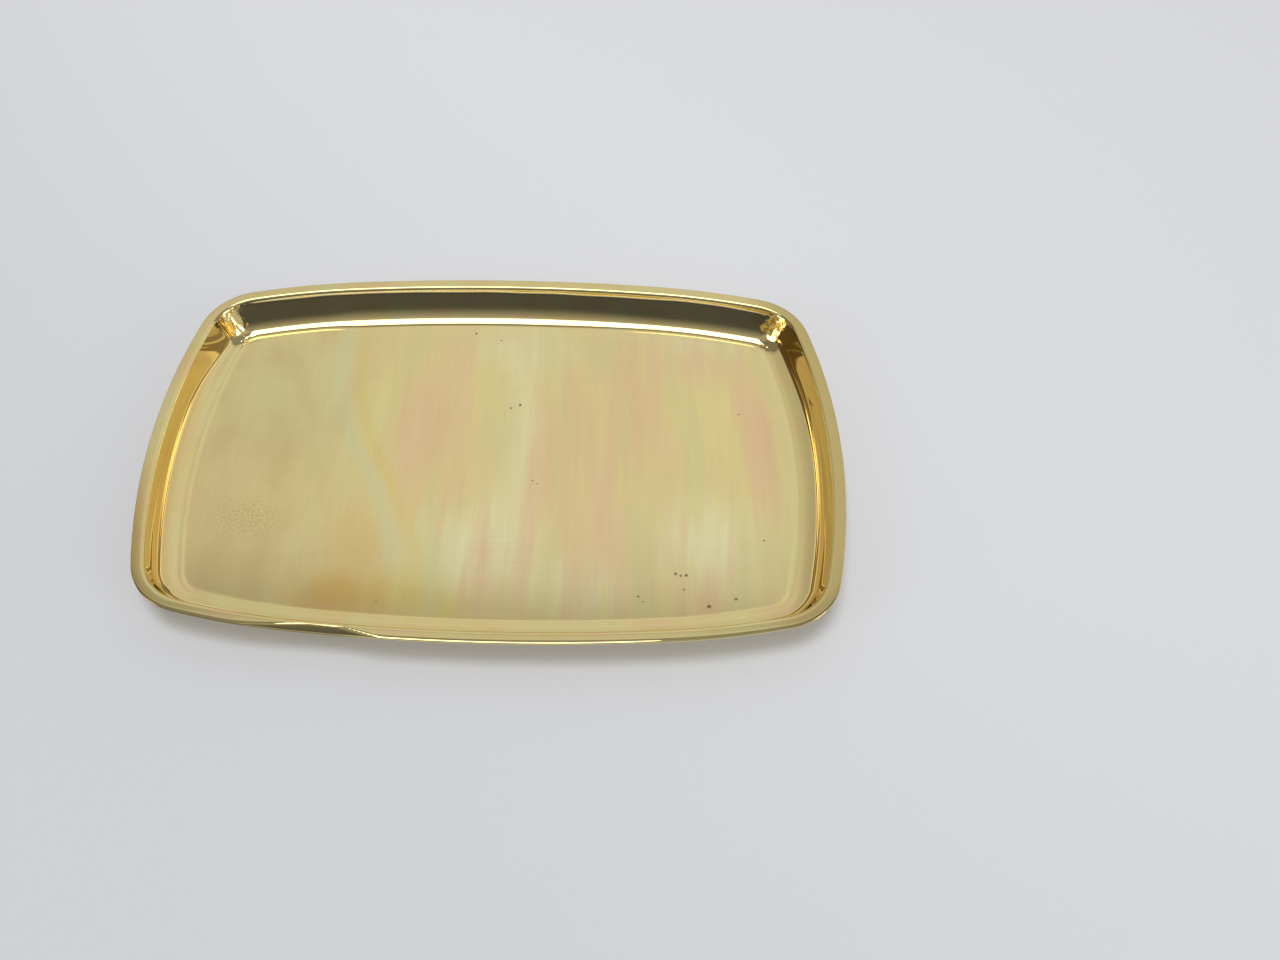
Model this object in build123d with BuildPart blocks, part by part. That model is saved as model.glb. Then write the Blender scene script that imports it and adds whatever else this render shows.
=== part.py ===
"""Coin tray: one sheet of brass, pressed into a shallow dish with a flat rim and a rounded edge.

Millimetres, +Z up. The origin is on the table, under the middle of the tray, with the long sides along X.
"""
from build123d import *
from math import asin, atan2, cos, degrees, hypot, radians, sin, sqrt
import os

# Overall sizes
length = 304.0
width = 194.0
rim_height = 16.3
sheet = 1.2

# Plan outline: every side bulges, and each long side turns in more tightly towards its ends
end_radius = 280.0
side_radius = 950.0
shoulder_radius = 330.0
corner_radius = 28.0
middle_length = 150.0

# Section through the rim and the wall, measured on the face that shows
edge_radius = 0.5
rim_width = 4.2
crest_radius = 2.0
wall_angle = 73.0
foot_radius = 7.5
ledge_width = 0.3

# The step between the ledge and the floor
step_drop = 0.25
step_radius = 2.5
floor_margin = 1.0

half_length = length / 2
half_width = width / 2
step_angle = degrees(2 * asin(sqrt(step_drop / (4 * step_radius))))
bend_drop = (crest_radius + foot_radius) * (1 - cos(radians(wall_angle)))
wall_length = (rim_height - sheet - step_drop - bend_drop) / sin(radians(wall_angle))
bend_reach = (crest_radius + foot_radius) * sin(radians(wall_angle))
step_reach = 2 * step_radius * sin(radians(step_angle))
wall_reach = wall_length * cos(radians(wall_angle))
floor_inset = rim_width + bend_reach + wall_reach + ledge_width + step_reach + floor_margin


def quarter_arcs():
    """The outline from the middle of the right end to the middle of the far side.

    Each arc is given as centre x, centre y, radius, start angle and sweep, in degrees.
    """
    end_centre = half_length - end_radius
    lean = asin(middle_length / 2 / side_radius)
    side_centre = half_width - side_radius
    shoulder_x = (side_radius - shoulder_radius) * sin(lean)
    shoulder_y = side_centre + (side_radius - shoulder_radius) * cos(lean)

    # The corner's centre lies at these distances from the centres of the end and the shoulder
    from_end = end_radius - corner_radius
    from_shoulder = shoulder_radius - corner_radius
    across = shoulder_x - end_centre
    up = shoulder_y
    apart = hypot(across, up)
    along = (from_end**2 - from_shoulder**2 + apart**2) / (2 * apart)
    off = sqrt(from_end**2 - along**2)
    corner_x = end_centre + (along * across - off * up) / apart
    corner_y = (along * up + off * across) / apart

    end_turn = degrees(atan2(corner_y, corner_x - end_centre))
    shoulder_turn = degrees(atan2(corner_y - shoulder_y, corner_x - shoulder_x))
    middle_turn = 90 - degrees(lean)
    return [
        (end_centre, 0, end_radius, 0, end_turn),
        (corner_x, corner_y, corner_radius, end_turn, shoulder_turn - end_turn),
        (shoulder_x, shoulder_y, shoulder_radius, shoulder_turn, middle_turn - shoulder_turn),
        (0, side_centre, side_radius, middle_turn, 90 - middle_turn),
    ]


def sheet_line(depth):
    """One face of the sheet in section, from the rim's edge to the floor, at a depth below the top face."""
    rim = Line((edge_radius, rim_height - depth), (rim_width, rim_height - depth))
    crest = JernArc(rim @ 1, (1, 0), crest_radius - depth, -wall_angle)
    wall = PolarLine(crest @ 1, wall_length, -wall_angle)
    foot = JernArc(wall @ 1, wall % 1, foot_radius + depth, wall_angle)
    ledge = PolarLine(foot @ 1, ledge_width, 0)
    step_top = JernArc(ledge @ 1, (1, 0), step_radius - depth, -step_angle)
    step_foot = JernArc(step_top @ 1, step_top % 1, step_radius + depth, step_angle)
    floor = PolarLine(step_foot @ 1, floor_margin, 0)
    return rim @ 0, floor @ 1


def section_plane(centre_x, centre_y, radius, start):
    """The upright plane across the sheet at an arc's start, with its x inwards and its y upwards."""
    out_x = cos(radians(start))
    out_y = sin(radians(start))
    foot = (centre_x + radius * out_x, centre_y + radius * out_y, 0)
    return Plane(origin=foot, x_dir=(-out_x, -out_y, 0), z_dir=(-out_y, out_x, 0))


# Tray shell: the section turned through each arc of one quarter, mirrored, and closed by the floor
with BuildPart() as tray_shell:
    for centre_x, centre_y, radius, start, sweep_angle in quarter_arcs():
        with BuildSketch(section_plane(centre_x, centre_y, radius, start)):
            with BuildLine():
                top_rim, top_floor = sheet_line(0)
                under_rim, under_floor = sheet_line(sheet)
                edge_top = JernArc(top_rim, (-1, 0), edge_radius, 90)
                edge_under = JernArc(under_rim, (-1, 0), edge_radius, -90)
                Line(edge_top @ 1, edge_under @ 1)
                Line(top_floor, under_floor)
            make_face()
        revolve(axis=Axis((centre_x, centre_y, 0), (0, 0, 1)), revolution_arc=sweep_angle)
    mirror(about=Plane.XZ)
    mirror(about=Plane.YZ)

    with BuildSketch():
        with BuildLine() as floor_edge:
            for centre_x, centre_y, radius, start, sweep_angle in quarter_arcs():
                CenterArc((centre_x, centre_y), radius - floor_inset, start, sweep_angle)
            mirror(about=Plane.XZ)
            mirror(about=Plane.YZ)
        make_face()
    extrude(amount=sheet)

tray_shell.part.label = "tray_shell"

os.makedirs("parts", exist_ok=True)
export_step(tray_shell.part, "parts/tray_shell.step")
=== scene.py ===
"""Looks of the coin tray: a polished brass sheet on a pale table, in soft studio light.

Metres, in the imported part's own frame: +X along the long sides, +Y across the tray, +Z up.
Sizes below are in millimetres and degrees, and MM turns them into metres.
"""
import math

import bpy
import numpy as np
from mathutils import Matrix, Vector, noise


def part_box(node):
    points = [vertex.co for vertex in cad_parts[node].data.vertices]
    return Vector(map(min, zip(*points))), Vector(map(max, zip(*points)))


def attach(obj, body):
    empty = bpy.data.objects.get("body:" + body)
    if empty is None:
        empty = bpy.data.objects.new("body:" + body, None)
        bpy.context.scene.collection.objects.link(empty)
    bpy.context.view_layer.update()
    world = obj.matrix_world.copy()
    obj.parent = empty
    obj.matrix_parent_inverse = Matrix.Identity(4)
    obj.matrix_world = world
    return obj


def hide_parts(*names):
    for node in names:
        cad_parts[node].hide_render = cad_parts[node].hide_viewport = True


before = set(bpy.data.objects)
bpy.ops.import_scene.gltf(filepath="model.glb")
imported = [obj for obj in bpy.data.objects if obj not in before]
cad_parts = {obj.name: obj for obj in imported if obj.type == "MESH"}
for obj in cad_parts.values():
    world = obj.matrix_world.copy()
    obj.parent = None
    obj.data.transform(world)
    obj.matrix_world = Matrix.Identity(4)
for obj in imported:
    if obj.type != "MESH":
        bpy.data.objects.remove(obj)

MM = 0.001
scene = bpy.context.scene
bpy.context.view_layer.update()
shell_low, shell_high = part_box("tray_shell")

# Overall sizes, from the frame
length = (shell_high.x - shell_low.x) / MM
width = (shell_high.y - shell_low.y) / MM
rim_height = (shell_high.z - shell_low.z) / MM

# The sheet, and the arcs of its outline, as in the part
sheet = 1.2
end_radius = 280.0
side_radius = 950.0
shoulder_radius = 330.0
corner_radius = 28.0
middle_length = 150.0

# Section through the rim: its rounded edge, its flat, and the crest where it turns down
edge_radius = 0.5
rim_width = 3.9
crest_radius = 1.8

# Slopes of the wall. It leans more on the far side than at the ends, whose far parts lean more as well.
far_wall_slope = 64.6
near_left_wall_slope = 84.0
near_right_wall_slope = 75.0
left_wall_slope = 83.0
right_wall_slope = 74.0
left_corner_slope = 66.0
right_corner_slope = 68.0
corner_slope_from = 22.0
corner_slope_reach = 42.0

# The top of the wall is its brow. It is steeper than the rest, most of all on the sides, and curves into it.
brow_slope = 0.6
side_brow_slope = 2.6
brow_radius = 52.0

# How far in from the outline the wall's foot ends. The far side's foot is wider along its middle.
far_middle_foot_inset = 18.2
far_ends_foot_inset = 16.8
wide_foot_left = -92.0
wide_foot_left_reach = 24.0
wide_foot_right = 84.0
wide_foot_right_reach = 70.0
near_foot_inset = 15.0
left_foot_inset = 15.6
right_foot_inset = 17.4

# The step between the ledge and the floor, gentler on the far side
step_drop = 0.25
step_slope = 12.0
far_step_slope = 6.5
floor_margin = 1.0

# Waves in the wall's slope: degrees, reach and the seed of the noise
SLOPE_WAVES = [(0.45, 60.0, 1), (0.15, 18.0, 2)]

# Unevenness of the wall: height, reach and seed. It fades out at the rim and at the wall's lower end.
SWELL = [(0.012, 26.0, 3)]
wall_end = 17.2
wall_fade = 3.0
uneven_rise_share = 0.6

# Dimples in the far corners, where the sheet was drawn in: the same, and that part's direction and extent
DIMPLES = [(0.05, 6.0, 5), (0.11, 2.0, 6)]
drawn_turn = 46.0
drawn_spread = 13.0
drawn_share = 1.6
drawn_reach_share = 1.2

# The rim's edge rolls down a little all round, by the rate times the square of the way out from its start
roll_width = 1.6
roll_flat = 0.5
roll_rate = 0.04

# The strip of the near rim whose edge is bent down, left of the middle, tapers off at both ends
strip_left = -98.0
strip_left_reach = 30.0
strip_right = -38.0
strip_right_reach = 16.0
strip_width = 3.5
strip_slope = 48.0
strip_fade = 0.8
strip_fold = 0.25

# How many steps the outline takes along each arc of a quarter
ARC_STEPS = (44, 48, 30, 36)

# How many steps the section takes on the underside. The upper face takes twice as many.
RIM_STEPS = 4
CREST_STEPS = 8
BROW_STEPS = 3
WALL_STEPS = 2
FOOT_STEPS = 12
STEP_STEPS = 3

# How many steps each rounded corner of the cut edge takes
EDGE_STEPS = 5

# Rings that close the floor and the underside, from the edge to the middle
FLOOR_RINGS = 22
UNDER_RINGS = 8

# The camera, fitted to the photograph: where it looks, from how far and how high
image_width = 1280
image_height = 960
focal_pixels = 1023.4
axis_pixel_x = 539.3
axis_pixel_y = 480.8
aim_x = 20.9
aim_y = -9.5
aim_z = -1.1
camera_distance = 457.8
camera_elevation = 56.3
camera_azimuth = -4.345
camera_roll = -2.313
sensor = 36.0


def make_camera():
    """A camera that puts each point of the tray on the pixel where the photograph has it."""
    data = bpy.data.cameras.new("camera")
    data.sensor_width = sensor
    data.lens = focal_pixels / image_width * sensor
    data.shift_x = (image_width / 2 - axis_pixel_x) / image_width
    data.shift_y = (axis_pixel_y - image_height / 2) / image_width
    elevation = math.radians(camera_elevation)
    azimuth = math.radians(camera_azimuth)
    forward = Vector((
        math.sin(azimuth) * math.cos(elevation),
        math.cos(azimuth) * math.cos(elevation),
        -math.sin(elevation),
    ))
    right = forward.cross(Vector((0, 0, 1))).normalized()
    up = right.cross(forward)
    turn = math.radians(camera_roll)
    leant_right = right * math.cos(turn) + up * math.sin(turn)
    leant_up = up * math.cos(turn) - right * math.sin(turn)
    place = Vector((aim_x, aim_y, aim_z)) - forward * camera_distance
    camera = bpy.data.objects.new("camera", data)
    camera.matrix_world = Matrix((
        (leant_right.x, leant_up.x, -forward.x, place.x * MM),
        (leant_right.y, leant_up.y, -forward.y, place.y * MM),
        (leant_right.z, leant_up.z, -forward.z, place.z * MM),
        (0, 0, 0, 1),
    ))
    scene.collection.objects.link(camera)
    scene.camera = camera


def quarter_arcs():
    """The outline from the middle of the right end to the middle of the far side.

    Each arc is given as centre x, centre y, radius, start angle and end angle, in radians.
    """
    half_length = length / 2
    half_width = width / 2
    end_centre = half_length - end_radius
    lean = math.asin(middle_length / 2 / side_radius)
    side_centre = half_width - side_radius
    shoulder_x = (side_radius - shoulder_radius) * math.sin(lean)
    shoulder_y = side_centre + (side_radius - shoulder_radius) * math.cos(lean)
    from_end = end_radius - corner_radius
    from_shoulder = shoulder_radius - corner_radius
    across = shoulder_x - end_centre
    apart = math.hypot(across, shoulder_y)
    along = (from_end**2 - from_shoulder**2 + apart**2) / (2 * apart)
    off = math.sqrt(from_end**2 - along**2)
    corner_x = end_centre + (along * across - off * shoulder_y) / apart
    corner_y = (along * shoulder_y + off * across) / apart
    end_turn = math.atan2(corner_y, corner_x - end_centre)
    shoulder_turn = math.atan2(corner_y - shoulder_y, corner_x - shoulder_x)
    middle_turn = math.pi / 2 - lean
    return [
        (end_centre, 0.0, end_radius, 0.0, end_turn),
        (corner_x, corner_y, corner_radius, end_turn, shoulder_turn),
        (shoulder_x, shoulder_y, shoulder_radius, shoulder_turn, middle_turn),
        (0.0, side_centre, side_radius, middle_turn, math.pi / 2),
    ]


def outline():
    """Points round the whole outline, and the inward direction at each, anticlockwise from the right end."""
    points, inward = [], []
    for (cx, cy, radius, start, end), steps in zip(quarter_arcs(), ARC_STEPS):
        turns = start + (end - start) * np.arange(steps) / steps
        out = np.c_[np.cos(turns), np.sin(turns)]
        points.append(np.array((cx, cy)) + radius * out)
        inward.append(-out)
    points = np.vstack(points + [[[0.0, width / 2]]])
    inward = np.vstack(inward + [[[0.0, -1.0]]])
    mirror_x = np.array((-1.0, 1.0))
    far = np.vstack([points, points[-2:0:-1] * mirror_x, points[:1] * mirror_x])
    far_in = np.vstack([inward, inward[-2:0:-1] * mirror_x, inward[:1] * mirror_x])
    mirror_y = np.array((1.0, -1.0))
    near = far[-2:0:-1] * mirror_y
    near_in = far_in[-2:0:-1] * mirror_y
    return np.vstack([far, near]), np.vstack([far_in, near_in])


def rising(values, start, reach):
    """A share that rises from 0 at the start to 1 at the end of the reach."""
    return np.clip((values - start) / reach, 0, 1)


def eased(share):
    """A share with soft ends."""
    return share**2 * (3 - 2 * share)


def between(first, second, share):
    """A value at a share of the way from the first to the second."""
    return first + (second - first) * share


def bumps(points, layers):
    """The sum of layers of smooth noise at each of many points. A layer is its height, reach and seed."""
    seed_shift = np.array((37.0, 11.0, 5.0))
    noise_range = 1.6
    total = np.zeros(len(points))
    for height, reach, seed in layers:
        spots = points / reach + seed * seed_shift
        total = total + height * np.array([noise.noise(Vector(spot)) for spot in spots]) * noise_range
    return total


class SectionLine:
    """One face of the sheet in section, drawn at every point of the outline at once.

    It runs inwards from the rim. Its heading is its slope below level, in radians.
    """

    def __init__(self, inset, height, heading):
        self.inset, self.height, self.heading = inset, height, heading
        self.insets, self.heights = [inset], [height]

    def keep(self, inset, height):
        self.insets.append(inset)
        self.heights.append(height)

    def straight(self, reach, steps):
        """A straight run of the given length."""
        for k in range(1, steps + 1):
            run = reach * k / steps
            self.keep(self.inset + run * np.cos(self.heading), self.height - run * np.sin(self.heading))
        self.inset, self.height = self.insets[-1], self.heights[-1]

    def arc(self, radius, heading, steps):
        """An arc that turns to the given heading: downwards about a centre below, upwards about one above."""
        side = np.sign(heading - self.heading) * radius
        for k in range(1, steps + 1):
            turned = self.heading + (heading - self.heading) * k / steps
            inset = self.inset + side * (np.sin(turned) - np.sin(self.heading))
            height = self.height - side * (np.cos(self.heading) - np.cos(turned))
            self.keep(inset, height)
        self.inset, self.height, self.heading = self.insets[-1], self.heights[-1], heading


def wall_slopes(points, side_share, end_share):
    """The wall's slope at each outline point, in degrees."""
    up_end = eased(rising(points[:, 1], corner_slope_from, corner_slope_reach))
    left_slope = between(left_wall_slope, left_corner_slope, up_end)
    right_slope = between(right_wall_slope, right_corner_slope, up_end)
    end_slope = np.where(points[:, 0] > 0, right_slope, left_slope)
    rightness = rising(points[:, 0], -length / 2, length)
    near_slope = between(near_left_wall_slope, near_right_wall_slope, rightness)
    side_slope = np.where(points[:, 1] > 0, far_wall_slope, near_slope)
    waves = bumps(np.c_[points, np.zeros(len(points))], SLOPE_WAVES)
    return side_slope * side_share + end_slope * end_share + waves


def foot_insets(points, side_share, end_share):
    """How far in from the outline the wall's foot ends at each outline point."""
    along_left = rising(points[:, 0], wide_foot_left, wide_foot_left_reach)
    along_right = rising(-points[:, 0], -wide_foot_right, wide_foot_right_reach)
    far_inset = between(far_ends_foot_inset, far_middle_foot_inset, eased(along_left * along_right))
    side_inset = np.where(points[:, 1] > 0, far_inset, near_foot_inset)
    end_inset = np.where(points[:, 0] > 0, right_foot_inset, left_foot_inset)
    return side_inset * side_share + end_inset * end_share


def sections(points, inward):
    """The sheet's section at each outline point: insets and heights, from the underside round the rim.

    The foot's radius follows from where the foot ends, so that wall and foot fill the depth of the dish.
    """
    side_share = inward[:, 1] ** 2
    end_share = 1 - side_share
    wall = np.radians(wall_slopes(points, side_share, end_share))
    brow = wall + np.radians(side_brow_slope * side_share + brow_slope)
    foot_inset = foot_insets(points, side_share, end_share)
    slant = np.radians(between(step_slope, far_step_slope, side_share * (points[:, 1] > 0)))
    step_radius = step_drop / (2 * (1 - np.cos(slant)))

    level = np.zeros(len(points))
    across = foot_inset - rim_width - crest_radius * np.sin(brow)
    across = across - brow_radius * (np.sin(brow) - np.sin(wall))
    down = rim_height - sheet - step_drop - crest_radius * (1 - np.cos(brow))
    down = down - brow_radius * (np.cos(wall) - np.cos(brow))
    foot_radius = (across * np.sin(wall) - down * np.cos(wall)) / (1 - np.cos(wall))
    wall_length = (down - foot_radius * (1 - np.cos(wall))) / np.sin(wall)

    def face(depth, times):
        line = SectionLine(level + edge_radius, level + rim_height - depth, level)
        line.straight(rim_width - edge_radius, RIM_STEPS * times)
        line.arc(crest_radius - depth, brow, CREST_STEPS * times)
        line.arc(brow_radius + depth, wall, BROW_STEPS * times)
        line.straight(wall_length, WALL_STEPS * times)
        line.arc(foot_radius + depth, level, FOOT_STEPS * times)
        line.arc(step_radius - depth, slant, STEP_STEPS * times)
        line.arc(step_radius + depth, level, STEP_STEPS * times)
        line.straight(floor_margin, 1)
        return np.array(line.insets), np.array(line.heights)

    top_insets, top_heights = face(0.0, 2)
    under_insets, under_heights = face(sheet, 1)
    # the cut edge, upright, with both its corners rounded
    turns = np.linspace(0, math.pi / 2, EDGE_STEPS + 1)[1:, None]
    edge_insets = edge_radius * (1 - np.sin(turns)) + level
    edge_drop = edge_radius * (1 - np.cos(turns)) + level
    insets = [under_insets[::-1], edge_insets, edge_insets[::-1], top_insets]
    heights = [under_heights[::-1], rim_height - sheet + edge_drop, rim_height - edge_drop[::-1], top_heights]
    return np.vstack(insets), np.vstack(heights)


def uneven(vertices, inset):
    """Small unevenness of the wall, and fine dimples in the far corners, where the sheet was drawn in.

    The second result is how far each vertex is in one of those corners.
    """
    corner_x, corner_y = quarter_arcs()[1][:2]
    over_x = np.abs(vertices[:, 0]) - corner_x
    over_y = np.abs(vertices[:, 1]) - corner_y
    turned = np.degrees(np.arctan2(over_y, over_x))
    corner = np.clip(drawn_share - np.abs(turned - drawn_turn) / drawn_spread, 0, 1)
    corner = corner * (np.hypot(over_x, over_y) < drawn_reach_share * corner_radius)
    corner = corner * (vertices[:, 1] > 0)
    wall = rising(inset, rim_width, wall_fade) * rising(-inset, -wall_end, wall_fade)
    return wall * (bumps(vertices, SWELL) + corner * bumps(vertices, DIMPLES)), wall * corner


def bent_edge(vertices, inset):
    """How far the rim's edge is moved down, and inwards: it rolls, and along the strip it is bent down.

    The strip keeps its slope, tapers off at both ends, and joins the flat of the rim in a small round fold.
    """
    roll = roll_rate * np.clip(roll_width - inset, 0, roll_width - roll_flat) ** 2
    from_left = rising(vertices[:, 0], strip_left, strip_left_reach)
    from_right = rising(-vertices[:, 0], -strip_right, strip_right_reach)
    strip = strip_width * (from_left * from_right) * (vertices[:, 1] < 0)
    within = strip - inset
    bend = (within + np.sqrt(within**2 + strip_fold**2)) / 2 * rising(strip, 0.0, strip_fade)
    slope = math.radians(strip_slope)
    return roll + bend * math.sin(slope), bend * (1 - math.cos(slope))


def make_shell():
    """The tray as one closed mesh: its sections joined round the outline, and a floor of shrinking rings."""
    points, inward = outline()
    around = len(points)
    insets, heights = sections(points, inward)
    rings = [np.c_[points + inward * u[:, None], z] for u, z in zip(insets, heights)]
    inset_rings = list(insets)
    top_edge, under_edge = rings[-1], rings[0]
    top_height, under_height = top_edge[0, 2], under_edge[0, 2]
    for k in range(1, FLOOR_RINGS):
        ring = top_edge * (1 - k / FLOOR_RINGS)
        ring[:, 2] = top_height
        rings.append(ring)
        inset_rings.append(inset_rings[-1] + width / 2 / FLOOR_RINGS)
    for k in range(1, UNDER_RINGS):
        ring = under_edge * (1 - k / UNDER_RINGS)
        ring[:, 2] = under_height
        rings.insert(0, ring)
        inset_rings.insert(0, np.zeros(around))
    vertices = np.vstack(rings + [[(0, 0, under_height)], [(0, 0, top_height)]])
    inset = np.concatenate(inset_rings + [[0.0], [width / 2]])

    # the unevenness moves the wall inwards and up, and the bend moves only what is at the rim's height
    inward_up = np.c_[inward, np.full(around, uneven_rise_share)]
    towards = np.vstack([inward_up] * len(rings) + [np.zeros((2, 3))])
    shift, drawn = uneven(vertices, inset)
    vertices += towards * shift[:, None]
    high = vertices[:, 2] > rim_height - 2 * sheet
    lower, inner = bent_edge(vertices, inset)
    vertices[:, 2] -= lower * high
    vertices[:, :2] += towards[:, :2] * (inner * high)[:, None]

    bands = len(rings)
    j = np.arange(around)
    nxt = (j + 1) % around
    faces = []
    for k in range(bands - 1):
        here = k * around
        beyond = here + around
        faces += np.c_[here + j, here + nxt, beyond + nxt, beyond + j].tolist()
    under_middle = bands * around
    top_middle = under_middle + 1
    last = (bands - 1) * around
    faces += np.c_[np.full(around, under_middle), nxt, j].tolist()
    faces += np.c_[np.full(around, top_middle), last + j, last + nxt].tolist()

    mesh = bpy.data.meshes.new("tray")
    mesh.from_pydata((vertices * MM).tolist(), [], faces)
    mesh.validate()
    mesh.shade_smooth()
    for name, values in (("inset", inset), ("drawn", drawn)):
        attribute = mesh.attributes.new(name, "FLOAT", "POINT")
        attribute.data.foreach_set("value", values.astype(np.float32))
    piece = bpy.data.objects.new("tray", mesh)
    scene.collection.objects.link(piece)
    return piece


class Nodes:
    """Short ways to add the nodes that the materials are made of.

    The nodes that a new tree comes with are removed, unless they are kept.
    """

    def __init__(self, tree, keep=False):
        self.tree = tree
        if not keep:
            tree.nodes.clear()

    def add(self, kind, **settings):
        node = self.tree.nodes.new(kind)
        for name, value in settings.items():
            setattr(node, name, value)
        return node

    def put(self, value, socket):
        """A link or a plain value into a socket."""
        if isinstance(value, bpy.types.NodeSocket):
            self.tree.links.new(value, socket)
        else:
            socket.default_value = value

    def math(self, operation, *values):
        node = self.add("ShaderNodeMath", operation=operation)
        for value, socket in zip(values, node.inputs):
            self.put(value, socket)
        return node.outputs[0]

    def product(self, *values):
        """All the values multiplied."""
        total = values[0]
        for value in values[1:]:
            total = self.math("MULTIPLY", total, value)
        return total

    def vector(self, operation, *values):
        """A vector from vector maths."""
        node = self.add("ShaderNodeVectorMath", operation=operation)
        for value, socket in zip(values, node.inputs):
            self.put(value, socket)
        return node.outputs[0]

    def measure(self, operation, *values):
        """A number from vector maths, such as a length."""
        return self.vector(operation, *values).node.outputs["Value"]

    def parts(self, vector):
        """The x, y and z of a vector."""
        node = self.add("ShaderNodeSeparateXYZ")
        self.put(vector, node.inputs[0])
        return [node.outputs[axis] for axis in "XYZ"]

    def away(self, place, centre, reach):
        """The distance from a centre, where each axis is measured in its own reach."""
        off = self.vector("SUBTRACT", place, (*centre, 0))
        return self.measure("LENGTH", self.vector("MULTIPLY", off, (1 / reach[0], 1 / reach[1], 0)))

    def smooth(self, value, start, end, at_start=0.0, at_end=1.0):
        """A smooth change between two values. The start may lie above the end."""
        node = self.add("ShaderNodeMapRange", interpolation_type="SMOOTHSTEP")
        for given, socket in zip((value, start, end, at_start, at_end), node.inputs):
            self.put(given, socket)
        return node.outputs[0]

    def noise(self, place, scale, detail=2.0, stretch=(1, 1, 1), shift=(0, 0, 0), output="Fac"):
        moved = self.vector("MULTIPLY_ADD", place, stretch, shift)
        node = self.add("ShaderNodeTexNoise")
        self.put(moved, node.inputs["Vector"])
        self.put(scale, node.inputs["Scale"])
        self.put(detail, node.inputs["Detail"])
        return node.outputs[output]

    def mix(self, share, first, second, blend="MIX"):
        node = self.add("ShaderNodeMix", data_type="RGBA", blend_type=blend)
        self.put(share, node.inputs[0])
        for value, socket in ((first, node.inputs[6]), (second, node.inputs[7])):
            self.put((*value, 1.0) if isinstance(value, tuple) else value, socket)
        return node.outputs[2]

    def ramp(self, value, stops):
        """A colour ramp from pairs of value and grey level or colour. The values may span any range."""
        low, high = stops[0][0], stops[-1][0]
        node = self.add("ShaderNodeValToRGB")
        share = self.math("DIVIDE", self.math("SUBTRACT", value, low), high - low)
        self.put(share, node.inputs["Fac"])
        elements = node.color_ramp.elements
        for at, level in stops[1:-1]:
            elements.new((at - low) / (high - low))
        for element, (at, level) in zip(elements, stops):
            element.color = (*level, 1) if isinstance(level, tuple) else (level, level, level, 1)
        return node.outputs["Color"]


# Bare brass, where it is lighter and where it is deeper, and its tints at some places on the rim and the
# wall: painted shade at the near left corner, on the cut edge and at the right end, and a painted orange
# reflection on the upper wall of the ends
BRASS_LIGHT = (0.885, 0.735, 0.345)
BRASS_DEEP = (0.86, 0.69, 0.30)
CORNER_PAINTED_SHADE = (0.62, 0.44, 0.16)
EDGE_PAINTED_SHADE = (0.34, 0.26, 0.12)
END_PAINTED_SHADE = (0.64, 0.51, 0.20)
WALL_PAINTED_REFLECTION = (0.90, 0.67, 0.27)
PIT_DARK = (0.16, 0.11, 0.05)

# The thin tarnish film on the floor: its tints, as the colours that the metal takes under it
FLOOR = (0.93, 0.77, 0.365)
TAN = (0.90, 0.68, 0.33)
PINK = (0.95, 0.69, 0.40)
ROSE = (0.93, 0.63, 0.36)
LEMON = (0.96, 0.84, 0.36)
PALE = (0.98, 0.93, 0.54)
AQUA = (0.82, 0.80, 0.44)
GREEN = (0.84, 0.77, 0.37)
AMBER = (0.86, 0.58, 0.19)
OLIVE = (0.90, 0.72, 0.24)
BROWN = (0.76, 0.58, 0.26)

# Soft patches of the film: centre x and y, reach along x and y, tint and strength. The two full pale ones on
# the near floor are painted highlight as well as film.
PATCHES = [
    (-95, 34, 44, 40, GREEN, 0.75),
    (-100, 0, 24, 26, BROWN, 0.22),
    (-122, -40, 22, 30, TAN, 0.45),
    (-112, -62, 30, 18, BROWN, 0.50),
    (-60, 10, 22, 50, GREEN, 0.30),
    (-54, -46, 17, 26, AMBER, 0.40),
    (-62, -69, 22, 13, AMBER, 1.00),
    (-42, -72, 15, 14, AMBER, 0.60),
    (-22, -66, 28, 19, OLIVE, 1.00),
    (-59, 26, 13, 46, LEMON, 0.60),
    (-42, -14, 16, 24, LEMON, 0.45),
    (-31, 12, 21, 46, ROSE, 0.55),
    (-31, 24, 13, 24, ROSE, 0.45),
    (-4, 45, 18, 26, LEMON, 0.50),
    (12, 20, 12, 62, PALE, 0.60),
    # film tint and painted highlight: the lamp's glow near the middle of the near floor
    (-7, -47, 38, 25, PALE, 1.00),
    (12, -30, 17, 24, PALE, 0.55),
    (31, 8, 15, 52, ROSE, 0.60),
    (51, 62, 14, 20, GREEN, 0.90),
    (62, 30, 14, 52, ROSE, 0.60),
    (51, -22, 13, 52, PINK, 0.75),
    (38, -62, 28, 18, PALE, 0.60),
    (66, -55, 12, 26, PINK, 0.50),
    (92, 58, 30, 20, PINK, 0.55),
    (99, 26, 22, 30, LEMON, 0.62),
    # film tint and painted highlight: the lamp's glow at the right of the near floor
    (96, -42, 26, 29, PALE, 1.00),
    (110, -10, 9, 34, LEMON, 0.40),
    (121, 12, 11, 38, ROSE, 1.00),
    (131, 0, 8, 36, GREEN, 0.60),
    (122, -44, 14, 22, GREEN, 0.55),
    (10, 66, 30, 20, PALE, 0.55),
    (94, 72, 30, 14, PALE, 0.40),
]
patch_outer_share = 1.25
patch_inner_share = 0.15

# Below, a fade is where something starts and where it is full, and its strength at both if not 0 and 1.
# A noise is its scale and detail, and how it is stretched and shifted.

# Where the film starts, and where the brushing of the floor does, as insets from the outline
film_fade = (16.2, 17.6)
brushed_fade = (18.2, 20.0)

# How far the film's edges wander along x and y, and how much of that the stream and the streaks follow
wander = (13, 18, 0)
wander_noise = (0.055, 4.0, (1.0, 0.35, 1.0))
stream_follows = (0.8, 0.5, 0)
streaks_follow = (0.12, 0.12, 0)

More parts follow.
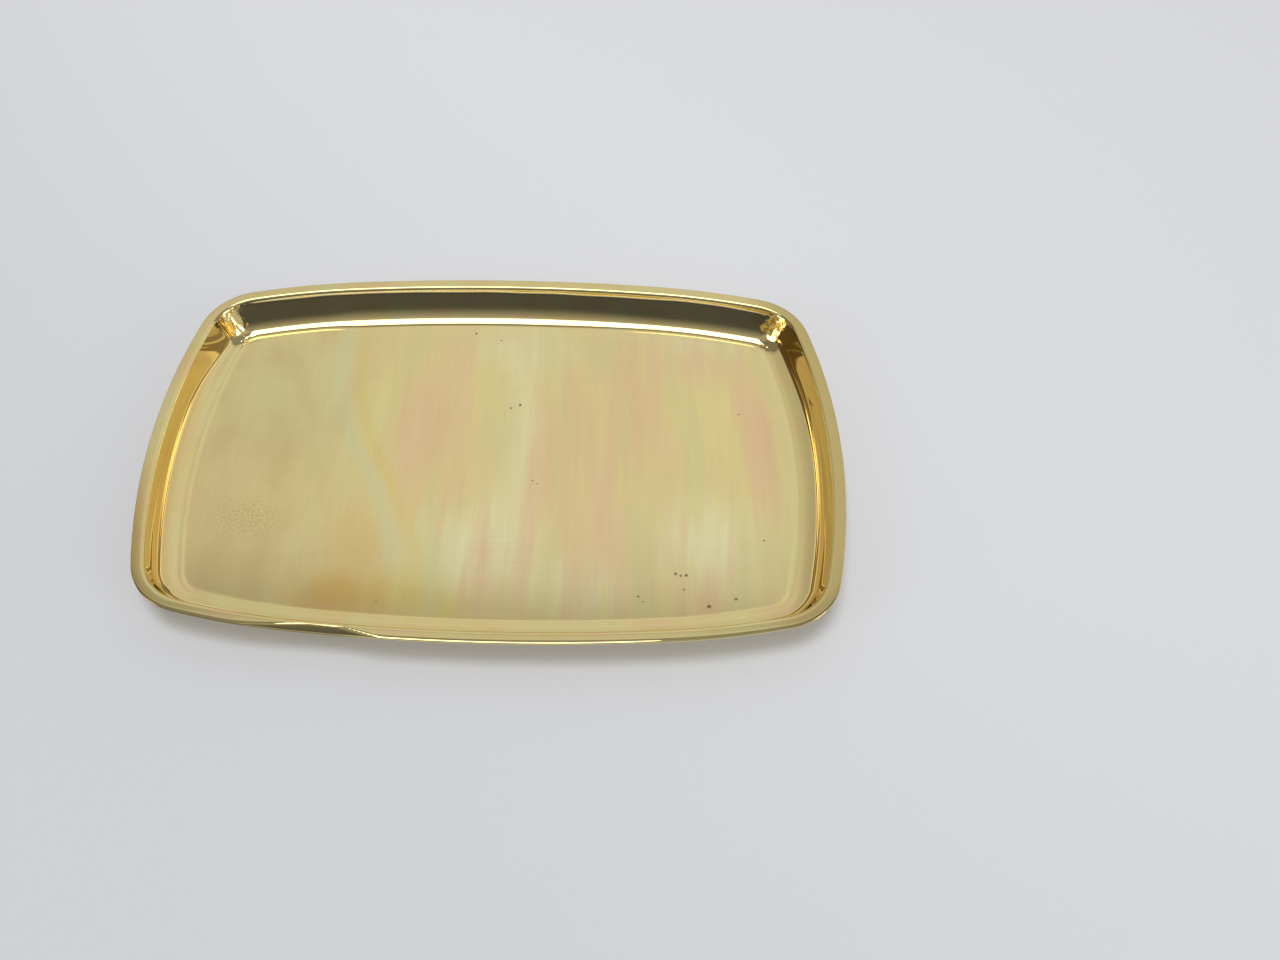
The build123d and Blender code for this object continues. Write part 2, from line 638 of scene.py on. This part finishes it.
# The narrow blue-green stream in the film, from the far edge down to the left: points on its middle line
STREAM = [(-77, 74), (-76, 48), (-72, 26), (-64, 6), (-54, -10), (-46, -28), (-41, -46), (-38, -60)]
stream_reach = 7.5
stream_core = 0.5
stream_strength = 0.68

# From its near and its far end, where along y the stream starts to show and where it is full
stream_low_fade = (-8, 14)
stream_high_fade = (10, -6)

# The olive band along the stream's right side
beside_offset = 9.0
beside_reach = 6.0
beside_strength = 0.5

# Noises of the streaks: whether it wanders with the film, scale, detail, stretch and shift
STREAK_NOISES = {
    "broad": (True, 0.070, 0.5, (1.0, 0.14, 1.0), (3, 1, 0)),
    "lines": (True, 0.20, 0.5, (1.0, 0.09, 1.0), (9, 4, 0)),
    "fine": (False, 0.8, 2.0, (1.0, 0.04, 1.0), (7, 3, 0)),
    "mottled": (False, 0.05, 5.0, (1.0, 0.5, 1.0), (2, 6, 0)),
    "cross": (False, 1.3, 2.0, (0.02, 1.0, 1.0), (1, 9, 0)),
}

# Streaks: noise, its values where a streak starts and is full, the part of the floor, strength and tint
STREAKS = [
    ("broad", 0.50, 0.74, "right", 0.65, PINK),
    ("broad", 0.50, 0.28, "right", 0.75, GREEN),
    ("lines", 0.50, 0.74, "zones", 0.38, ROSE),
    ("lines", 0.50, 0.26, "zones", 0.40, LEMON),
    ("fine", 0.42, 0.70, "all", 0.12, BROWN),
    ("mottled", 0.38, 0.74, "left", 0.55, BROWN),
    ("cross", 0.48, 0.75, "all", 0.12, BROWN),
]

# Parts of the floor: right and left of the stream, by x, and zones here and there
right_part_fade = (-85.0, -30.0, 0.12, 1.0)
left_part_fade = (-40.0, -95.0)
zones_noise = (0.026, 2.0, (1, 0.6, 1), (14, 2, 0))
zones_fade = (0.40, 0.60)

# Pits in the floor: x, y and size
PITS = [
    (10.2, 31.3, 0.9), (6.1, 29.4, 0.7), (18.0, -10.9, 0.5), (79.9, -56.1, 0.9), (82.0, -57.0, 0.7),
    (84.3, -56.7, 0.9), (83.3, -63.4, 0.6), (64.2, -67.2, 0.7), (93.2, -71.0, 1.2), (104.3, -67.2, 0.9),
    (88.5, -79.3, 0.9), (118.0, -39.0, 0.6), (111.6, 28.2, 0.6), (-13.6, 75.2, 0.7), (-133.0, 40.9, 0.5),
    (-1.0, 70.9, 0.6), (66.0, -69.5, 0.5), (-44.0, -73.0, 0.5), (20.0, -12.5, 0.4),
]

# The grain of the pits, and small specks in some zones
pit_noise_scale = 2.2
pit_fade = (0.30, 0.55)
speck_noise = (1.1, 1.0, (1, 1, 1), (40, 9, 0))
speck_fade = (0.77, 0.82, 0.0, 0.5)
speck_zone_noise = (0.03, 1.0, (1, 1, 1), (5, 50, 0))
speck_zone_fade = (0.50, 0.62)

# The brown corner of the rim, which is painted shade, and the smudge on the floor: centre, and reach along x
# and y
brown_corner = (-150, -62)
brown_corner_reach = (50, 62)
smudge_centre = (-106, -34)
smudge_reach = (22, 14)

# How both fade with the distance from their centres, counted in reaches, and the smudge's grain
brown_corner_fade = (1.0, 0.1, 0.0, 0.95)
smudge_fade = (1.2, 0.2)
smudge_noise = (0.9, 4.0)
smudge_grain_fade = (0.42, 0.60, 0.0, 0.85)

# Clouds of deeper brass, and a rosy and a greenish tinge, on the rim and the wall
cloud_noise = (0.045, 3.0, (1, 1, 1), (3, 8, 1))
cloud_fade = (0.30, 0.72)
tinge_noise = (0.055, 3.0, (1, 1, 1), (30, 5, 2))
rosy_fade = (0.52, 0.66, 0.0, 0.5)
greenish_fade = (0.48, 0.36, 0.0, 0.5)

# Where the painted shade of the near left corner, the cut edge and the right end, and the painted orange
# reflection of the ends, lie: by x, by y, or by the inset from the outline
brown_inset_fade = (6.0, 1.0)
cut_edge_inset_fade = (0.35, 0.15)
edge_shade_x_fade = (-34.0, -56.0)
end_shade_x_fade = (112.0, 136.0)
end_shade_inset_fade = (4.5, 10.0, 0.8, 0.4)
orange_x_fade = (122.0, 136.0)
orange_y_fade = (80.0, 62.0)
orange_upper_fade = (5.0, 6.5)
orange_lower_fade = (11.5, 8.5)

# Roughness of the polished metal and of a pit, and the strength and the height of the bump map
polish = 0.03
pit_roughness = 0.4
bump_strength = 0.3
bump_height = 0.0015

# The film's brushing and its cloudy parts, and the roughness that each adds
brushing_noise = (3.0, 2.0, (0.03, 1.0, 1.0))
brushing_roughness_fade = (0.3, 0.7, 0.015, 0.03)
cloudy_noise = (0.06, 3.0, (1, 1, 1), (20, 4, 0))
cloudy_roughness_fade = (0.4, 0.7, 0.0, 0.015)

# The bump map's scratches, waves and dimples, and how much each kind counts
scratch_stretch = (0.02, 0.9, 1.0)
scratch_scale = 1.3
scratch_distortion = 14.0
scratch_detail = 4.0
wave_noise = (0.22, 2.0, (1, 1, 1), (2, 2, 9))
dimple_noise = (1.1, 1.0, (1, 1, 1), (6, 2, 4))
scratch_weight = 0.35
brushing_weight = 0.5
wave_weight = 2.0
dimple_weight = 60.0


def stream(n, colour, across, up):
    """The colour with the stream and the olive band beside it."""
    low, high = STREAM[-1][1], STREAM[0][1]
    left, right = STREAM[0][0], STREAM[-1][0]
    middle = n.add("ShaderNodeFloatCurve")
    n.put(n.math("DIVIDE", n.math("SUBTRACT", up, low), high - low), middle.inputs["Value"])
    curve = middle.mapping.curves[0]
    shares = sorted(((y - low) / (high - low), (x - left) / (right - left)) for x, y in STREAM)
    curve.points[0].location = shares[0]
    curve.points[1].location = shares[-1]
    for share in shares[1:-1]:
        curve.points.new(*share)
    middle.mapping.update()
    line_x = n.math("MULTIPLY_ADD", middle.outputs[0], right - left, left)
    aside = n.math("SUBTRACT", across, line_x)
    low_end = n.smooth(up, low + stream_low_fade[0], low + stream_low_fade[1])
    high_end = n.smooth(up, high + stream_high_fade[0], high + stream_high_fade[1])
    ends = n.product(low_end, high_end)
    core = n.smooth(n.math("ABSOLUTE", aside), stream_reach, stream_core, 0.0, stream_strength)
    off_band = n.math("ABSOLUTE", n.math("SUBTRACT", aside, beside_offset))
    band = n.smooth(off_band, beside_reach, stream_core, 0.0, beside_strength)
    colour = n.mix(n.product(core, ends), colour, AQUA)
    return n.mix(n.product(band, ends), colour, OLIVE)


def streaks(n, colour, flat, soft, across):
    """The colour with streaks along Y, mostly right of the stream, faint ones along X, and mottling."""
    right = n.smooth(across, *right_part_fade)
    zones = n.smooth(n.noise(flat, *zones_noise), *zones_fade)
    parts = {
        "right": [right],
        "zones": [right, zones],
        "left": [n.smooth(across, *left_part_fade)],
        "all": [],
    }
    noises = {
        name: n.noise(soft if wanders else flat, *settings)
        for name, (wanders, *settings) in STREAK_NOISES.items()
    }
    for name, start, full, part, strength, tint in STREAKS:
        share = n.product(*parts[part], n.smooth(noises[name], start, full, 0.0, strength))
        colour = n.mix(share, colour, tint)
    return colour


def film_colour(n, place, flat):
    """The floor's colour: patches, the stream and streaks, all with ragged edges."""
    ragged_noise = n.noise(place, *wander_noise, output="Color")
    off = n.vector("MULTIPLY", n.vector("SUBTRACT", ragged_noise, (0.5, 0.5, 0.5)), wander)
    ragged = n.vector("ADD", flat, off)
    colour = FLOOR
    for x, y, reach_x, reach_y, tint, strength in PATCHES:
        away = n.away(ragged, (x, y), (reach_x, reach_y))
        colour = n.mix(n.smooth(away, patch_outer_share, patch_inner_share, 0.0, strength), colour, tint)
    across, up, _ = n.parts(n.vector("MULTIPLY_ADD", off, stream_follows, flat))
    colour = stream(n, colour, across, up)
    soft = n.vector("MULTIPLY_ADD", off, streaks_follow, flat)
    return streaks(n, colour, flat, soft, across)


def bare_colour(n, place, flat, inset):
    """The colour of the rim and the wall: tarnish tints here and there, painted shade at the near left
    corner, on the cut edge and at the right end, and a painted orange reflection on the upper wall of the
    ends.
    """
    cloud = n.noise(place, *cloud_noise)
    bare = n.mix(n.smooth(cloud, *cloud_fade), BRASS_LIGHT, BRASS_DEEP)
    tinge = n.noise(place, *tinge_noise)
    bare = n.mix(n.smooth(tinge, *rosy_fade), bare, ROSE)
    bare = n.mix(n.smooth(tinge, *greenish_fade), bare, GREEN)

    # painted shade: browner on the rim at the near left corner, where it mirrors the dim front left
    near_corner = n.smooth(n.away(flat, brown_corner, brown_corner_reach), *brown_corner_fade)
    bare = n.mix(n.product(near_corner, n.smooth(inset, *brown_inset_fade)), bare, CORNER_PAINTED_SHADE)
    # painted shade: darker on the cut edge left of the middle, so that it mirrors less of the bright table
    x, y, _ = n.parts(flat)
    cut_edge = n.smooth(inset, *cut_edge_inset_fade)
    bare = n.mix(n.product(cut_edge, n.smooth(x, *edge_shade_x_fade)), bare, EDGE_PAINTED_SHADE)
    # painted shade: darker along the right end, more so on the rim than on the wall
    right_end = n.smooth(x, *end_shade_x_fade)
    bare = n.mix(n.product(right_end, n.smooth(inset, *end_shade_inset_fade)), bare, END_PAINTED_SHADE)
    # painted reflection: orange on the upper wall of both ends, where the brass mirrors brass
    far_out = n.smooth(n.math("ABSOLUTE", x), *orange_x_fade)
    at_end = n.product(far_out, n.smooth(n.math("ABSOLUTE", y), *orange_y_fade))
    upper_wall = n.product(n.smooth(inset, *orange_upper_fade), n.smooth(inset, *orange_lower_fade))
    return n.mix(n.product(at_end, upper_wall), bare, WALL_PAINTED_REFLECTION)


def pit_share(n, flat):
    """Where the floor's pits and specks are."""
    pits = None
    for x, y, size in PITS:
        spot = n.smooth(n.measure("DISTANCE", flat, (x, y, 0)), size, size / 2)
        pits = spot if pits is None else n.math("MAXIMUM", pits, spot)
    pits = n.product(pits, n.smooth(n.noise(flat, pit_noise_scale), *pit_fade))
    specks = n.smooth(n.noise(flat, *speck_noise), *speck_fade)
    speck_zone = n.smooth(n.noise(flat, *speck_zone_noise), *speck_zone_fade)
    return n.math("MAXIMUM", pits, n.product(specks, speck_zone))


def surface_height(n, place, brushing, brushed, on_floor):
    """The bump map: brushing and scratches on the floor, faint waves on the wall, dimples in the corners."""
    scratches = n.add("ShaderNodeTexWave", wave_type="BANDS", bands_direction="DIAGONAL")
    n.put(n.vector("MULTIPLY", place, scratch_stretch), scratches.inputs["Vector"])
    n.put(scratch_scale, scratches.inputs["Scale"])
    n.put(scratch_distortion, scratches.inputs["Distortion"])
    n.put(scratch_detail, scratches.inputs["Detail"])
    brushes = n.product(brushing, brushing_weight)
    scratched = n.math("MULTIPLY_ADD", scratches.outputs["Fac"], scratch_weight, brushes)
    waves = n.product(n.noise(place, *wave_noise), wave_weight, n.math("SUBTRACT", 1.0, on_floor))
    drawn = n.add("ShaderNodeAttribute", attribute_name="drawn").outputs["Fac"]
    dimples = n.product(drawn, n.product(n.noise(place, *dimple_noise), dimple_weight))
    return n.math("ADD", n.math("ADD", n.product(scratched, brushed), waves), dimples)


def brass():
    """Polished brass: bare on the rim and the wall, with painted shade and a painted reflection there, under
    a thin uneven film on the floor, two of whose pale patches also paint a highlight.
    """
    material = bpy.data.materials.new("polished_brass_look")
    material.use_nodes = True
    n = Nodes(material.node_tree)
    out = n.add("ShaderNodeOutputMaterial")
    shader = n.add("ShaderNodeBsdfPrincipled")
    n.put(shader.outputs[0], out.inputs["Surface"])
    shader.inputs["Metallic"].default_value = 1.0

    # places in millimetres, and how far in from the outline each point lies
    place = n.vector("SCALE", n.add("ShaderNodeTexCoord").outputs["Object"])
    place.node.inputs["Scale"].default_value = 1 / MM
    flat = n.vector("MULTIPLY", place, (1, 1, 0))
    inset = n.add("ShaderNodeAttribute", attribute_name="inset").outputs["Fac"]
    on_floor = n.smooth(inset, *film_fade)
    brushed = n.smooth(inset, *brushed_fade)

    colour = n.mix(on_floor, bare_colour(n, place, flat, inset), film_colour(n, place, flat))
    near_smudge = n.smooth(n.away(flat, smudge_centre, smudge_reach), *smudge_fade)
    smudge_grain = n.smooth(n.noise(flat, *smudge_noise), *smudge_grain_fade)
    colour = n.mix(n.product(near_smudge, smudge_grain), colour, BROWN)
    pits = n.product(pit_share(n, flat), on_floor)
    n.put(n.mix(pits, colour, PIT_DARK), shader.inputs["Base Color"])

    brushing = n.noise(flat, *brushing_noise)
    cloudy = n.noise(flat, *cloudy_noise)
    film_rough = n.smooth(brushing, *brushing_roughness_fade)
    film_rough = n.math("ADD", film_rough, n.smooth(cloudy, *cloudy_roughness_fade))
    rough = n.math("ADD", polish, n.product(brushed, film_rough))
    n.put(n.math("ADD", rough, n.product(pits, pit_roughness)), shader.inputs["Roughness"])

    bump = n.add("ShaderNodeBump")
    bump.inputs["Strength"].default_value = bump_strength
    bump.inputs["Distance"].default_value = bump_height * MM
    n.put(surface_height(n, place, brushing, brushed, on_floor), bump.inputs["Height"])
    n.put(bump.outputs[0], shader.inputs["Normal"])
    return material


# The table: half its size in metres, its finish, its two colours, and where the change between them goes; the
# change is painted light, lighter to the far right
table_reach = 4.0
table_roughness = 0.6
table_specular = 0.2
TABLE_SHADED_LEFT = (0.507, 0.531, 0.575)
TABLE_LIT_RIGHT = (0.598, 0.619, 0.654)
painted_light_towards = (0.72, 0.70, 0.0)
painted_light_reach = 0.22

# Painted light: the table glows a little, in place of light from the rest of the room, which keeps the tray's
# shadow pale
PAINTED_FILL_GLOW = (1.0, 0.90, 0.76, 1)
painted_fill_glow_strength = 0.13


def pale_floor():
    """The table under the tray, large enough to fill every view, painted a little lighter to the far right,
    and glowing a little as painted fill light.
    """
    mesh = bpy.data.meshes.new("table")
    corners = [(x * table_reach, y * table_reach, 0) for x, y in ((-1, -1), (1, -1), (1, 1), (-1, 1))]
    mesh.from_pydata(corners, [], [(0, 1, 2, 3)])
    table = bpy.data.objects.new("table", mesh)
    scene.collection.objects.link(table)
    material = bpy.data.materials.new("table_white")
    material.use_nodes = True
    shader = material.node_tree.nodes["Principled BSDF"]
    n = Nodes(material.node_tree, keep=True)
    spot = n.add("ShaderNodeTexCoord").outputs["Object"]
    along = n.measure("DOT_PRODUCT", spot, painted_light_towards)
    share = n.smooth(along, -painted_light_reach, painted_light_reach)
    n.put(n.mix(share, TABLE_SHADED_LEFT, TABLE_LIT_RIGHT), shader.inputs["Base Color"])
    shader.inputs["Roughness"].default_value = table_roughness
    shader.inputs["Specular IOR Level"].default_value = table_specular
    shader.inputs["Emission Color"].default_value = PAINTED_FILL_GLOW
    shader.inputs["Emission Strength"].default_value = painted_fill_glow_strength
    mesh.materials.append(material)


# The room, by the angle from the far horizon over the zenith to the near horizon
ROOM = [
    (0, .60), (30, .64), (44, .66), (51, .70), (59, .70), (62, .63), (63.6, .50), (64.3, .45),
    (64.8, .64), (66.3, .66), (67.2, .28), (104, .28), (110, .50), (180, .55),
]

# The same on the camera's side, which is dark but for a pale strip at the table's height
CAMERA_ROOM = [
    (0, .40), (104, .60), (113, .50), (124, .36), (138, .27), (158, (.145, .15, .155)),
    (170, (.10, .104, .115)), (175, (.085, .088, .10)), (178.2, (.06, .062, .075)),
    (178.9, 1.0), (180, 1.0),
]

# How far to each side of the camera that reaches, by the compass angle from the near side
CAMERA_SIDE = [(0, 1.0), (42, 1.0), (50, 0.0), (180, 0.0)]

# How bright the room is from left to right
SIDES = [
    (-1, .80), (-.55, .84), (-.42, .86), (-.36, .88), (-.28, .93), (-.15, 1.0), (.14, 1.0), (.3, .97),
    (.8, 1.0), (1, 1.0),
]

# A glow low down behind the tray: its share by the compass angle from the far side, its share by height,
# and its colour
GLOW_SHARE = [
    (-180, 0.0), (-66, 0.0), (-58, 1.0), (-40, 1.0), (-22, .8), (-12, .8), (-6, .3), (24, .3), (30, .8),
    (40, 1.0), (78, .8), (88, 0.0), (180, 0.0),
]
glow_fade = (.24, .17)
GLOW = (.95, .92, .88)

# Dark things low down: their height by the same compass angle, how soft their tops are, and their colour
DARK_HEIGHT = [
    (-180, 0.0), (-104, 0.0), (-100, .30), (-78, .40), (-68, .40), (-60, .24), (-56, .13), (-10, .12),
    (8, .12), (14, .20), (20, .18), (28, .11), (54, .11), (60, .02), (66, 0.0), (80, 0.0), (84, .15),
    (96, .15), (100, 0.0), (180, 0.0),
]
dark_softness = .008
DARK = (.11, .085, .055)

# A window on each side, a little towards the camera: its share by the compass angle, its sill, top and light
WINDOW_SHARE = [(0, 0.0), (104, 0.0), (106, 1.0), (120, 1.0), (123, 0.0), (180, 0.0)]
window_sill_fade = (.05, .09)
window_top_fade = (.55, .50)
WINDOW = (3.2, 3.2, 3.4)

# Lamps: name, left, right, near and far edge, height and radiance. The metal mirrors the softbox alone.
LAMPS = [
    ("key", -780, 430, -330, 500, 2560, 7.1),
    ("softbox", -780, 310, -810, 560, 2500, 2.6),
]


def room_colour(n, x, y, z):
    """The colour of the room in each direction, for the world's light and for what the brass mirrors."""
    arch = n.math("DEGREES", n.math("ARCTAN2", z, y))
    compass = n.math("DEGREES", n.math("ARCTAN2", x, y))
    room = n.mix(1.0, n.ramp(arch, ROOM), n.ramp(x, SIDES), "MULTIPLY")
    room = n.mix(n.product(n.ramp(compass, GLOW_SHARE), n.smooth(z, *glow_fade)), room, GLOW)
    under_top = n.math("SUBTRACT", n.ramp(compass, DARK_HEIGHT), z)
    room = n.mix(n.smooth(under_top, -dark_softness, dark_softness), room, DARK)
    window_height = n.product(n.smooth(z, *window_sill_fade), n.smooth(z, *window_top_fade))
    window = n.product(n.ramp(n.math("ABSOLUTE", compass), WINDOW_SHARE), window_height)
    room = n.mix(window, room, WINDOW)
    aside = n.math("DEGREES", n.math("ARCTAN2", x, n.product(y, -1.0)))
    camera_side = n.ramp(n.math("ABSOLUTE", aside), CAMERA_SIDE)
    return n.mix(camera_side, room, n.ramp(arch, CAMERA_ROOM))


def studio():
    """A pale room, dimmer to the left and dark on the camera's side, with two large lamps overhead."""
    world = bpy.data.worlds.new("studio")
    scene.world = world
    world.use_nodes = True
    n = Nodes(world.node_tree)
    out = n.add("ShaderNodeOutputWorld")
    back = n.add("ShaderNodeBackground")
    direction = n.parts(n.add("ShaderNodeTexCoord").outputs["Generated"])
    n.put(room_colour(n, *direction), back.inputs["Color"])
    n.put(back.outputs[0], out.inputs[0])

    for name, left, right, near, far, height, radiance in LAMPS:
        data = bpy.data.lights.new(name, "AREA")
        data.shape = "RECTANGLE"
        data.size = (right - left) * MM
        data.size_y = (far - near) * MM
        data.energy = radiance * math.pi * data.size * data.size_y
        light = bpy.data.objects.new(name, data)
        light.visible_glossy = name == "softbox"
        light.location = ((left + right) / 2 * MM, (near + far) / 2 * MM, height * MM)
        scene.collection.objects.link(light)


scene.view_settings.view_transform = "Standard"
make_camera()
tray = make_shell()
tray.data.materials.append(brass())
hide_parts("tray_shell")
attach(tray, "root")
pale_floor()
studio()
